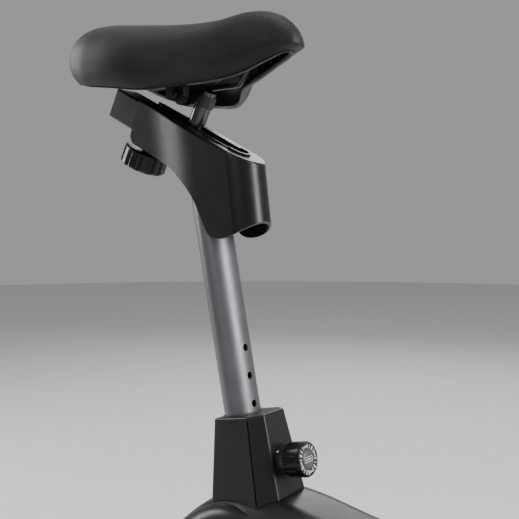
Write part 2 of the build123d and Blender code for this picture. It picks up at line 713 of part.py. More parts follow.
with BuildPart() as post_collar:
    add(collar_block.part)
    fillet(post_collar.edges().filter_by(lambda edge: abs((edge % 0).dot(post_up)) > 0.8), 4.5)
    fillet(post_collar.faces().sort_by(Axis(COLLAR_TOP, post_up))[-1].edges(), 2)
    add(collar_hollow, mode=Mode.SUBTRACT)
    add(post_bar(BORE_WIDTH, BORE_DEPTH, -20, 10), mode=Mode.SUBTRACT)
    add(pin_bar(18.2, 26, 80), mode=Mode.SUBTRACT)
    add(casing_below, mode=Mode.SUBTRACT)
save(post_collar, "post_collar")

HOUSING_END = 62
KNOB_BACK = 63.5
KNOB_FACE = 86

with BuildPart() as pin_housing:
    # a threaded neck welded on the seat tube, and a round boss that shows through the collar
    add(pin_bar(12, 20, 42))
    add(post_bar(TUBE_WIDTH, TUBE_DEPTH, -120, 0), mode=Mode.SUBTRACT)
    add(pin_bar(18, 40, HOUSING_END))
    add(pin_bar(PIN_R + RUNNING, 0, HOUSING_END), mode=Mode.SUBTRACT)
    add(pin_bar(9, 31, 56), mode=Mode.SUBTRACT)
save(pin_housing, "pin_housing")

with BuildPart() as lock_pin:
    # spring-loaded plunger, drawn out of the post
    add(pin_bar(PIN_R, POST_DEPTH / 2 + 1.6, 80))
    add(pin_bar(7, 40, 43))
    chamfer(lock_pin.edges().sort_by(Axis(COLLAR_TOP, post_front))[0], 1)
save(lock_pin, "lock_pin")

KNOB_R = 21
KNOB_FLUTES = 14

with BuildPart() as lock_knob:
    add(pin_bar(KNOB_R, KNOB_BACK, KNOB_FACE))
    chamfer(lock_knob.edges().filter_by(GeomType.CIRCLE), 1)
    with BuildSketch(pin_plane(KNOB_BACK)):
        with PolarLocations(KNOB_R + 0.9, KNOB_FLUTES):
            Circle(2.2)
    extrude(amount=KNOB_FACE - KNOB_BACK - 5, mode=Mode.SUBTRACT)
    add(pin_bar(18.4, KNOB_BACK, KNOB_BACK + 10), mode=Mode.SUBTRACT)
    add(pin_bar(PIN_R + RUNNING, KNOB_BACK, 80.3), mode=Mode.SUBTRACT)
save(lock_knob, "lock_knob")

with BuildPart() as lock_dial:
    add(pin_bar(18.5, KNOB_FACE, KNOB_FACE + 1.2))
    chamfer(lock_dial.edges().sort_by(Axis(COLLAR_TOP, post_front))[-1], 0.5)
save(lock_dial, "lock_dial")

# ---------------------------------------------------------------- seat post, guide and hood
guide_bottom = -SLIDE_SIZE - SLACK - GUIDE_WALL

with BuildPart() as seat_post:
    add(post_bar(POST_WIDTH, POST_DEPTH, POST_BOTTOM, 340))
    add(post_bar(POST_WIDTH - 2 * POST_WALL, POST_DEPTH - 2 * POST_WALL, POST_BOTTOM, 340),
        mode=Mode.SUBTRACT)
    split(bisect_by=slide_plane(guide_bottom), keep=Keep.BOTTOM)
    with BuildSketch(pin_plane(10)):
        with Locations(*[(0, -HOLE_PITCH * step) for step in range(-HOLES_ABOVE, HOLES_BELOW + 1)]):
            Circle(HOLE_R)
    extrude(amount=20, mode=Mode.SUBTRACT)
save(seat_post, "seat_post")


def top_slot(width, end, low, high):
    """A slot that is open at the slide's rear and rounded at its front end."""
    with BuildPart() as made:
        with BuildSketch(slide_plane(low)):
            with Locations(((end - width / 2) / 2, 0)):
                Rectangle(end - width / 2, width)
            with Locations((end - width / 2, 0)):
                Circle(width / 2)
        extrude(amount=high - low)
    return made.part


guide_slot = top_slot(SLOT_WIDTH, 200, -6, 8)
guide_outer = SLIDE_SIZE + 2 * SLACK + 2 * GUIDE_WALL

with BuildPart() as slide_guide:
    add(slide_box(guide_outer, 3.5, GUIDE_START, GUIDE_END))
    add(slide_bar(9, SLIDE_KNOB_AT, HOOD_BOTTOM + 2, guide_bottom + 1))
    add(slide_box(SLIDE_SIZE + 2 * SLACK, 2.5, GUIDE_START, GUIDE_END), mode=Mode.SUBTRACT)
    add(slide_bar(BOLT_R + RUNNING, SLIDE_KNOB_AT, HOOD_BOTTOM, guide_bottom + 5), mode=Mode.SUBTRACT)
    add(guide_slot, mode=Mode.SUBTRACT)
save(slide_guide, "slide_guide")


def hood_solid(inset):
    """The hood's outer form: its side outline crossed with its leaning plan, shrunk by inset."""
    with BuildPart() as made:
        with BuildSketch(Plane.XZ):
            with BuildLine(mode=Mode.PRIVATE) as side:
                rear = Line(slide_point(48, HOOD_TOP), slide_point(54, -44))
                corner = Spline(rear @ 1, slide_point(66, HOOD_BOTTOM),
                                tangents=(rear % 1, (slide_along.X, slide_along.Z)))
                under = Line(corner @ 1, slide_point(134, HOOD_BOTTOM))
                curve = Spline(under @ 1, (-265, 810), (-237, 776), tangents=(under % 1, (17, -33)))
                leg = Line(curve @ 1, (-222.5, 748))
                toe = Spline(leg @ 1, (-207, 738.3), (-181, 742.5), (-154.5, 759), (-146, 768.5),
                             tangents=((17, -33), (8, 9)))
                front = Line(toe @ 1, slide_point(264, HOOD_TOP))
                Line(front @ 1, rear @ 0)
            make_face(shrunk(side.line, inset))
        extrude(amount=50, both=True)
        with BuildSketch(Plane.XY.offset(700)):
            with BuildLine(mode=Mode.PRIVATE) as plan:
                rear_left = Line((-366, 24.4), (-303, 24.4))
                flare = Spline(rear_left @ 1, (-227, 33), tangents=((1, 0), (1, 0)))
                side_left = Line(flare @ 1, (-174, 33))
                round_front = ThreePointArc(side_left @ 1, (-147.2, 0), (-174, -33))
                flare_right = Line(round_front @ 1, (-227, -33))
                narrow = Spline(flare_right @ 1, (-303, -24.4), tangents=((-1, 0), (-1, 0)))
                rear_right = Line(narrow @ 1, (-366, -24.4))
                Line(rear_right @ 1, rear_left @ 0)
            make_face(shrunk(plan.line, inset))
        extrude(amount=300, dir=(-0.124, 0, 1), mode=Mode.INTERSECT)
    return made


hood_outer = hood_solid(0)
hood_inner = hood_solid(HOOD_WALL).part
hood_opening = hood_inner.moved(Location((0, 0, -16)))
hood_slot = top_slot(SLOT_WIDTH, SLOT_END, -4, 8)
hood_lip = top_slot(SLOT_WIDTH + 4, SLOT_END + 2, HOOD_TOP - 1, HOOD_TOP + 1.2)

with BuildPart() as lower_opening:
    add(hood_opening)
    with Locations((-214, 0, 780)):
        Box(136, 100, 120, mode=Mode.INTERSECT)

with BuildPart() as slide_hood:
    add(hood_outer.part)
    fillet(slide_hood.faces().sort_by(Axis((0, 0, 0), slide_up))[-1].edges(), 3.5)
    add(hood_lip)
    add(slide_bar(SLOT_WIDTH / 2 + 3, SLOT_END - SLOT_WIDTH / 2, HOOD_TOP - 1, HOOD_TOP + 2.5))
    split(bisect_by=slide_section(49), keep=Keep.TOP)
    add(hood_inner, mode=Mode.SUBTRACT)
    add(lower_opening.part, mode=Mode.SUBTRACT)
    add(hood_slot, mode=Mode.SUBTRACT)
    add(slide_box(SLIDE_SIZE + 2 * SLACK, 2.5, 30, 70), mode=Mode.SUBTRACT)
    add(slide_bar(10.5, SLIDE_KNOB_AT, HOOD_BOTTOM - 4, HOOD_BOTTOM + 8), mode=Mode.SUBTRACT)
save(slide_hood, "slide_hood")

with BuildPart() as slide_knob:
    # lobed clamping knob under the guide, with its screw
    add(slide_bar(SLIDE_KNOB_R, SLIDE_KNOB_AT, -84, -57.5))
    chamfer(slide_knob.edges().filter_by(GeomType.CIRCLE), 2.5)
    with BuildSketch(slide_plane(-84)):
        with Locations((SLIDE_KNOB_AT, 0)):
            with PolarLocations(SLIDE_KNOB_R + 3.5, 12):
                Circle(6)
    extrude(amount=22, mode=Mode.SUBTRACT)
    add(slide_bar(8, SLIDE_KNOB_AT, -60, HOOD_BOTTOM + 1.7))
    add(slide_bar(BOLT_R, SLIDE_KNOB_AT, -60, -SLIDE_SIZE - 0.4))
save(slide_knob, "slide_knob")

# ---------------------------------------------------------------- slide tube, pillar and clamp
with BuildPart() as slide_tube:
    add(slide_box(SLIDE_SIZE, 3, 0, SLIDE_LENGTH))
    add(slide_box(SLIDE_SIZE - 2 * SLIDE_WALL, 1.5, 0, SLIDE_LENGTH), mode=Mode.SUBTRACT)
    add(slide_bar(PILLAR_R, PILLAR_AT, -10, 5), mode=Mode.SUBTRACT)
save(slide_tube, "slide_tube")

with BuildPart() as slide_plug:
    add(slide_box(SLIDE_SIZE - 2 * SLIDE_WALL - 0.1, 1.4, 1.5, 14))
save(slide_plug, "slide_plug")

with BuildPart() as saddle_pillar:
    add(slide_bar(PILLAR_R, PILLAR_AT, -SLIDE_SIZE + SLIDE_WALL, PILLAR_TOP))
    chamfer(saddle_pillar.edges().filter_by(GeomType.CIRCLE), 0.8)
    add(slide_bar(PILLAR_R - 2, PILLAR_AT, -SLIDE_SIZE, PILLAR_TOP), mode=Mode.SUBTRACT)
save(saddle_pillar, "saddle_pillar")

CORE_HALF = 12
NUT_Y = 28.5

with BuildPart() as saddle_clamp:
    # a ring on the pillar with a toothed boss behind it, and the cross bolt with its nuts
    add(slide_bar(13, PILLAR_AT, 31, 46))
    with Locations((CLAMP_X + 12, 0, CLAMP_Z - 4)):
        Box(24, 18, 16)
    add(slide_bar(PILLAR_R, PILLAR_AT, 0, 60), mode=Mode.SUBTRACT)
    add(disc(CLAMP_X, CLAMP_Z, 11, -CORE_HALF, CORE_HALF))
    with BuildSketch(face_left(-CORE_HALF)):
        with Locations((-CLAMP_X, CLAMP_Z)):
            with PolarLocations(11, 18):
                Rectangle(3, 1.8)
    extrude(amount=2 * CORE_HALF)
    add(disc(CLAMP_X, CLAMP_Z, BOLT_R, -NUT_Y - 7, NUT_Y + 7))
    for nut_from in (-NUT_Y - 6, NUT_Y):
        with BuildSketch(face_left(nut_from)):
            with Locations((-CLAMP_X, CLAMP_Z)):
                RegularPolygon(7.5, 6)
        extrude(amount=6)
save(saddle_clamp, "saddle_clamp")

# ---------------------------------------------------------------- saddle
rail_route = ((-170, 9, 968), (-212, RAIL_Y, RAIL_Z), (-322, RAIL_Y, RAIL_Z), (-352, 44, 950), (-362, 47, 968))

with BuildPart() as left_rail:
    with BuildLine() as rail_line:
        FilletPolyline(*rail_route, radius=9)
    with BuildSketch(Plane(rail_line.line @ 0, z_dir=rail_line.line % 0)):
        Circle(RAIL_R)
    sweep()

with BuildPart() as saddle_rails:
    add(left_rail.part)
    add(left_rail.part.mirror(Plane.XZ))
save(saddle_rails, "saddle_rails")

with BuildPart() as left_rail_clamp:
    add(disc(CLAMP_X, CLAMP_Z, 12.5, CORE_HALF + SLACK, 16))
    with Locations((CLAMP_X, RAIL_Y, CLAMP_Z + 5)):
        Box(30, 12, 22)
    fillet(left_rail_clamp.edges().filter_by(Axis.Y), 3)
    add(disc(CLAMP_X, CLAMP_Z, BOLT_R + RUNNING, 0, 40), mode=Mode.SUBTRACT)
    with Locations((CLAMP_X, RAIL_Y, RAIL_Z)):
        Cylinder(RAIL_R, 60, rotation=(0, 90, 0), mode=Mode.SUBTRACT)

with BuildPart() as rail_clamps:
    add(left_rail_clamp.part)
    add(left_rail_clamp.part.mirror(Plane.XZ))
save(rail_clamps, "rail_clamps")

# position along the bike, half width, height of the rim, height of the top
SADDLE_LEVELS = (
    (-106, 12, 964, 984),
    (-122, 24, 956, 1003),
    (-160, 30, 943, 1011),
    (-200, 38, 931, 1010),
    (-232, 66, 925, 1009),
    (-262, 98, 921, 1009),
    (-305, 113, 921, 1011),
    (-350, 116, 930, 1018),
    (-385, 98, 944, 1018),
    (-403, 62, 956, 1004),
)
FOAM = 17
FOAM_SHARE = 0.3  # of the half width, where the saddle is narrow
PAN_WALL = 3.5


def saddle_level(x, half, rim_z, top_z, skin):
    """One cross-section of the saddle: flat below, rounded sides and a gently crowned top."""
    half, top_z = half - skin, top_z - skin
    height = top_z - rim_z
    with BuildSketch(Plane((x, 0, 0), x_dir=(0, 1, 0), z_dir=(1, 0, 0))) as made:
        with BuildLine():
            base = Line((-half * 0.94, rim_z), (half * 0.94, rim_z))
            Spline(
                base @ 1, (half, rim_z + height * 0.35), (half * 0.72, top_z - height * 0.12), (0, top_z),
                (-half * 0.72, top_z - height * 0.12), (-half, rim_z + height * 0.35), base @ 0,
            )
        make_face()
    return made.sketch


def saddle_form(levels, foam, wall, drop):
    """The saddle lofted through some of its levels, less its foam and wall, reaching below the rim."""
    with BuildPart() as made:
        for x, half, rim_z, top_z in levels:
            skin = min(foam, FOAM_SHARE * half) + wall
            add(saddle_level(x, half, rim_z - drop, top_z, skin))
        loft()
    return made.part


saddle_outer = saddle_form(SADDLE_LEVELS, 0, 0, 0)
inner_levels = SADDLE_LEVELS[1:-1]
pan_outer = saddle_form(inner_levels, FOAM, 0, 1)
pan_hollow = saddle_form(inner_levels, FOAM, PAN_WALL, 6)

with BuildPart() as rear_scoop:
    with Locations((-375, 0, 888)):
        Cylinder(72, 120, rotation=(0, 90, 0))

with BuildPart() as saddle_cover:
    add(saddle_outer)
    add(pan_outer, mode=Mode.SUBTRACT)
    add(rear_scoop.part, mode=Mode.SUBTRACT)
save(saddle_cover, "saddle_cover")

with BuildPart() as rail_sockets:
    with Locations((-166, 0, 985)):
        Box(20, 28, 40)
    with Locations((-362, 47, 985), (-362, -47, 985)):
        Box(18, 16, 46)
    add(pan_outer, mode=Mode.INTERSECT)

with BuildPart() as saddle_pan:
    add(pan_outer)
    add(pan_hollow, mode=Mode.SUBTRACT)
    add(rear_scoop.part, mode=Mode.SUBTRACT)
    add(rail_sockets.part)
    add(saddle_rails.part, mode=Mode.SUBTRACT)
save(saddle_pan, "saddle_pan")

# ---------------------------------------------------------------- mast, boot and bottle holder
with BuildPart() as mast:
    add(mast_bar(0, -10, MAST_LENGTH))
    add(mast_bar(-MAST_WALL, -10, MAST_LENGTH), mode=Mode.SUBTRACT)
    split(bisect_by=Plane.XY.offset(BEAM_TOP), keep=Keep.TOP)
save(mast, "mast")

with BuildPart() as mast_boot:
    # a tapered sleeve that closes the casing's top around the mast
    with BuildSketch(Plane.XY.offset(CASING_TOP)):
        with Locations((310, 0)):
            RectangleRounded(80, 124, 20)
    with BuildSketch(mast_plane(530)):
        SlotOverall(MAST_WIDTH + 12, MAST_DEPTH + 12, rotation=90)
    loft()
    add(mast_bar(SLACK, 400, 560), mode=Mode.SUBTRACT)
save(mast_boot, "mast_boot")

HOLDER_X = 276
HOLDER_Z = 770
HOLDER_R = 41

with BuildPart() as bottle_holder:
    with Locations((HOLDER_X, 0, HOLDER_Z + 45)):
        Cylinder(HOLDER_R, 90)
    with Locations((HOLDER_X + HOLDER_R + 4, 0, HOLDER_Z + 45)):
        Box(20, 36, 60)
    add(mast_bar(0, 600, 900), mode=Mode.SUBTRACT)
    with Locations((HOLDER_X, 0, HOLDER_Z + 50)):
        Cylinder(HOLDER_R - 3, 94, mode=Mode.SUBTRACT)
    # side windows
    with Locations((HOLDER_X, 0, HOLDER_Z + 42)):
        Box(44, 120, 44, mode=Mode.SUBTRACT)
save(bottle_holder, "bottle_holder")

# ---------------------------------------------------------------- handlebar and its clamp
with BuildPart() as bar_clamp:
    block_middle = (CLAMP_BLOCK_Z + CLAMP_BLOCK_TOP) / 2
    with Locations((372, 0, block_middle)):
        Box(76, 60, CLAMP_BLOCK_TOP - CLAMP_BLOCK_Z)
    fillet(bar_clamp.edges().filter_by(Axis.Y), 12)
    fillet(bar_clamp.faces().sort_by(Axis.Y)[0].edges() + bar_clamp.faces().sort_by(Axis.Y)[-1].edges(), 3)
    add(disc(BAR_X, BAR_AXIS_Z, BAR_TUBE_R + RUNNING, -40, 40), mode=Mode.SUBTRACT)
    with Locations((BAR_X + 40, 0, BAR_AXIS_Z)):
        Box(60, 80, 2.5, mode=Mode.SUBTRACT)
    with Locations((BAR_KNOB_X, 0, block_middle - 10)):
        Cylinder(BOLT_R + RUNNING, CLAMP_BLOCK_TOP - CLAMP_BLOCK_Z, mode=Mode.SUBTRACT)
save(bar_clamp, "bar_clamp")

with BuildPart() as bar_knob:
    with Locations((BAR_KNOB_X, 0, 1084)):
        Cylinder(17, 22)
    fillet(bar_knob.edges().filter_by(GeomType.CIRCLE), 2)
    with Locations((BAR_KNOB_X, 0, 1084)):
        with PolarLocations(20, 6):
            Cylinder(5.5, 30, mode=Mode.SUBTRACT)
    with Locations((BAR_KNOB_X, 0, 1119)):
        Cylinder(BOLT_R, 48)
save(bar_knob, "bar_knob")

bar_end = Vector(215, GRIP_Y, 1160)
bar_bend = Vector(330, GRIP_Y, 1136)
bar_route = (bar_end, bar_bend, Vector(BAR_X, 150, BAR_AXIS_Z))
left_to_right = [(p.X, p.Y, p.Z) for p in bar_route] + [(p.X, -p.Y, p.Z) for p in reversed(bar_route)]

with BuildPart() as handlebar:
    with BuildLine() as bar_line:
        FilletPolyline(*left_to_right, radius=38)
    with BuildSketch(Plane(bar_line.line @ 0, z_dir=bar_line.line % 0)):
        Circle(BAR_TUBE_R)
        Circle(BAR_TUBE_R - 2, mode=Mode.SUBTRACT)
    sweep()
save(handlebar, "handlebar")

grip_way = (bar_bend - bar_end).normalized()
with BuildPart() as left_grip:
    add(round_bar(Plane(bar_end - grip_way * 5, z_dir=grip_way), GRIP_R, 82))
    fillet(left_grip.edges().filter_by(GeomType.CIRCLE), 3)
    add(round_bar(Plane(bar_end, z_dir=grip_way), BAR_TUBE_R, 120), mode=Mode.SUBTRACT)

with BuildPart() as hand_grips:
    add(left_grip.part)
    add(left_grip.part.mirror(Plane.XZ))
save(hand_grips, "hand_grips")

# ---------------------------------------------------------------- console
SCREEN_WIDTH = 160
SCREEN_HEIGHT = 84
SCREEN_UP = 24
BUTTON_DOWN = -42
BUTTON_PITCH = 38
button_spots = [(BUTTON_PITCH * (step - 1.5), BUTTON_DOWN) for step in range(4)]

with BuildPart() as console_case:
    with BuildSketch(console_plane(-CONSOLE_DEPTH)):
        RectangleRounded(CONSOLE_WIDTH, CONSOLE_HEIGHT, 24)
    extrude(amount=CONSOLE_DEPTH)
    fillet(console_case.faces().sort_by(Axis((0, 0, 0), console_out))[-1].edges(), 5)
    # neck down to the clamp, and a ledge for a book
    with Locations((366, 0, 1195)):
        Box(34, 54, 76)
    with BuildSketch(console_plane(-6)):
        with Locations((0, -CONSOLE_HEIGHT / 2 + 9)):
            RectangleRounded(190, 9, 4)
    extrude(amount=22)
    with BuildSketch(console_plane(-CONSOLE_DEPTH + 3)):
        RectangleRounded(CONSOLE_WIDTH - 12, CONSOLE_HEIGHT - 12, 18)
    extrude(amount=CONSOLE_DEPTH - 15, mode=Mode.SUBTRACT)
    with BuildSketch(console_plane(-2)):
        with Locations((0, SCREEN_UP)):
            RectangleRounded(SCREEN_WIDTH, SCREEN_HEIGHT, 6)
    extrude(amount=6, mode=Mode.SUBTRACT)
    with BuildSketch(console_plane(-10)):
        with Locations(*button_spots):
            Circle(BUTTON_R + SLACK)
    extrude(amount=20, mode=Mode.SUBTRACT)
save(console_case, "console_case")

with BuildPart() as console_screen:
    with BuildSketch(console_plane(-2)):
        with Locations((0, SCREEN_UP)):
            RectangleRounded(SCREEN_WIDTH - 0.4, SCREEN_HEIGHT - 0.4, 5.8)
    extrude(amount=1.6)
save(console_screen, "console_screen")

with BuildPart() as console_board:
    with BuildSketch(console_plane(-22)):
        Rectangle(190, 120)
    extrude(amount=1.6)
save(console_board, "console_board")

for spot, word in zip(button_spots, ("down", "stop", "start", "up")):
    with BuildPart() as button:
        with BuildSketch(console_plane(-7)):
            with Locations(spot):
                Circle(BUTTON_R)
        extrude(amount=9.5)
        fillet(button.faces().sort_by(Axis((0, 0, 0), console_out))[-1].edges(), 1.2)
    save(button, f"button_{word}")
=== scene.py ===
import json
import math

import bmesh
import bpy
from mathutils import Matrix, Vector
from mathutils.bvhtree import BVHTree


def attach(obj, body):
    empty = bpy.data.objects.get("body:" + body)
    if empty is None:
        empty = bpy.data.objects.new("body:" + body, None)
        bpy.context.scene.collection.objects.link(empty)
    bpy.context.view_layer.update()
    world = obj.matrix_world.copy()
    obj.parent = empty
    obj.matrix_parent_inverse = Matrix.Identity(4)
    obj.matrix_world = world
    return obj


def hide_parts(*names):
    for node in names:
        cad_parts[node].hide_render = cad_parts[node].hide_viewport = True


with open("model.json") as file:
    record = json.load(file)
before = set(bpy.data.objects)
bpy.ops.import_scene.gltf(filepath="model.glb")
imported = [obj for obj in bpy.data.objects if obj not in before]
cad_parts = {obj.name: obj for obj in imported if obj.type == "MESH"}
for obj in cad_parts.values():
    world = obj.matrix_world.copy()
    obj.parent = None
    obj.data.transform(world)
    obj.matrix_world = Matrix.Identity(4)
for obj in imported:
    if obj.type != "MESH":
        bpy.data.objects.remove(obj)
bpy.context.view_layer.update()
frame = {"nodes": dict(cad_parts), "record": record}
nodes = frame["nodes"]
MM = 0.001

# ------------------------------------------------------------------ camera, floor and light
CAMERA_AT = Vector((0.3829, -0.7445, 0.7567))
YAW, PITCH = 0.6337, -0.0481  # radians
camera_data = bpy.data.cameras.new("camera")
camera_data.sensor_fit = "HORIZONTAL"
camera_data.sensor_width = 36.0
camera_data.lens = 52.344
camera_data.clip_end = 60
camera = bpy.data.objects.new("camera", camera_data)
bpy.context.scene.collection.objects.link(camera)
heading = Vector((-math.sin(YAW) * math.cos(PITCH), math.cos(YAW) * math.cos(PITCH), math.sin(PITCH)))
camera.location = CAMERA_AT
camera.rotation_euler = heading.to_track_quat("-Z", "Y").to_euler()
bpy.context.scene.camera = camera

world = bpy.data.worlds.new("studio")
bpy.context.scene.world = world
world.use_nodes = True
world.node_tree.nodes["Background"].inputs["Color"].default_value = (0.80, 0.81, 0.83, 1)
world.node_tree.nodes["Background"].inputs["Strength"].default_value = 0.42


def area_light(name, at, look_at, size, size_y, power, colour=(1, 1, 1)):
    data = bpy.data.lights.new(name, "AREA")
    data.shape = "RECTANGLE"
    data.size, data.size_y = size, size_y
    data.energy = power
    data.color = colour
    light = bpy.data.objects.new(name, data)
    bpy.context.scene.collection.objects.link(light)
    light.location = at
    light.rotation_euler = (Vector(look_at) - Vector(at)).to_track_quat("-Z", "Y").to_euler()


AIM = (-0.2, 0, 0.75)
area_light("key_right", (2.6, 0.9, 1.7), AIM, 0.7, 2.2, 120)
area_light("fill_front", (0.6, -3.2, 2.4), AIM, 2.4, 1.4, 24, (0.97, 0.98, 1))
area_light("rim_left", (-2.6, -0.7, 1.6), AIM, 0.5, 2.0, 60)
area_light("back", (-1.4, 3.0, 2.2), AIM, 2.0, 1.2, 34)
area_light("top", (0, 0, 3.6), AIM, 2.2, 2.2, 34)

# ------------------------------------------------------------------ materials


def new_material(name, colour, rough, metallic=0.0):
    mat = bpy.data.materials.new(name)
    mat.use_nodes = True
    shader = mat.node_tree.nodes["Principled BSDF"]
    shader.inputs["Base Color"].default_value = (*colour, 1)
    shader.inputs["Roughness"].default_value = rough
    shader.inputs["Metallic"].default_value = metallic
    return mat, shader


def surface(name, colour, rough, metallic=0.0, grain=(900, 0.00006), broad=(18, 0.08), tint=0.12,
            stretch=(1, 1, 1), cells=False, coat=0.0, specular=0.5):
    """A procedural material: broad changes of colour and roughness, and a fine grain as bump.

    grain is the scale and the height in metres of the bump, broad is the scale of the slow change and how
    far roughness moves either way, and tint is how far the colour moves.
    """
    mat, shader = new_material(name, colour, rough, metallic)
    tree = mat.node_tree
    link = tree.links.new
    shader.inputs["Coat Weight"].default_value = coat
    shader.inputs["Coat Roughness"].default_value = 0.12
    shader.inputs["Specular IOR Level"].default_value = specular
    coords = tree.nodes.new("ShaderNodeTexCoord")
    mapping = tree.nodes.new("ShaderNodeMapping")
    mapping.inputs["Scale"].default_value = stretch
    link(coords.outputs["Object"], mapping.inputs["Vector"])
    wide = tree.nodes.new("ShaderNodeTexNoise")
    wide.inputs["Scale"].default_value = broad[0]
    wide.inputs["Detail"].default_value = 4
    link(mapping.outputs["Vector"], wide.inputs["Vector"])
    fine = tree.nodes.new("ShaderNodeTexVoronoi" if cells else "ShaderNodeTexNoise")
    fine.inputs["Scale"].default_value = grain[0]
    fine_out = fine.outputs["Distance" if cells else "Fac"]
    link(mapping.outputs["Vector"], fine.inputs["Vector"])
    spread = tree.nodes.new("ShaderNodeMapRange")
    spread.inputs["To Min"].default_value = max(0.02, rough - broad[1])
    spread.inputs["To Max"].default_value = min(1.0, rough + broad[1])
    link(wide.outputs["Fac"], spread.inputs["Value"])
    link(spread.outputs["Result"], shader.inputs["Roughness"])
    ramp = tree.nodes.new("ShaderNodeValToRGB")
    ramp.color_ramp.elements[0].position = 0.3
    ramp.color_ramp.elements[1].position = 0.75
    ramp.color_ramp.elements[0].color = (*[c * (1 - tint) for c in colour], 1)
    ramp.color_ramp.elements[1].color = (*[min(1, c * (1 + tint)) for c in colour], 1)
    link(wide.outputs["Fac"], ramp.inputs["Fac"])
    link(ramp.outputs["Color"], shader.inputs["Base Color"])
    bump = tree.nodes.new("ShaderNodeBump")
    bump.inputs["Strength"].default_value = 1.0
    bump.inputs["Distance"].default_value = grain[1]
    link(fine_out, bump.inputs["Height"])
    link(bump.outputs["Normal"], shader.inputs["Normal"])
    return mat


def leather(name, colour):
    """Soft synthetic leather: small cells with creases between them, over a slow change of gloss."""
    mat, shader = new_material(name, colour, 0.46)
    tree = mat.node_tree
    link = tree.links.new
    shader.inputs["Specular IOR Level"].default_value = 0.32
    shader.inputs["Sheen Weight"].default_value = 0.06
    shader.inputs["Sheen Roughness"].default_value = 0.5
    coords = tree.nodes.new("ShaderNodeTexCoord")
    cells = tree.nodes.new("ShaderNodeTexVoronoi")
    cells.feature = "DISTANCE_TO_EDGE"
    cells.inputs["Scale"].default_value = 720
    folds = tree.nodes.new("ShaderNodeTexNoise")
    folds.inputs["Scale"].default_value = 240
    folds.inputs["Detail"].default_value = 3
    wide = tree.nodes.new("ShaderNodeTexNoise")
    wide.inputs["Scale"].default_value = 14
    for texture in (cells, folds, wide):
        link(coords.outputs["Object"], texture.inputs["Vector"])
    mixed = tree.nodes.new("ShaderNodeMath")
    mixed.operation = "MULTIPLY_ADD"
    link(cells.outputs["Distance"], mixed.inputs[0])
    mixed.inputs[1].default_value = 1.4
    link(folds.outputs["Fac"], mixed.inputs[2])
    bump = tree.nodes.new("ShaderNodeBump")
    bump.inputs["Distance"].default_value = 0.00022
    link(mixed.outputs["Value"], bump.inputs["Height"])
    link(bump.outputs["Normal"], shader.inputs["Normal"])
    spread = tree.nodes.new("ShaderNodeMapRange")
    spread.inputs["To Min"].default_value = 0.40
    spread.inputs["To Max"].default_value = 0.54
    link(wide.outputs["Fac"], spread.inputs["Value"])
    link(spread.outputs["Result"], shader.inputs["Roughness"])
    ramp = tree.nodes.new("ShaderNodeValToRGB")
    ramp.color_ramp.elements[0].color = (*[c * 0.8 for c in colour], 1)
    ramp.color_ramp.elements[1].color = (*[c * 1.25 for c in colour], 1)
    link(wide.outputs["Fac"], ramp.inputs["Fac"])
    link(ramp.outputs["Color"], shader.inputs["Base Color"])
    return mat


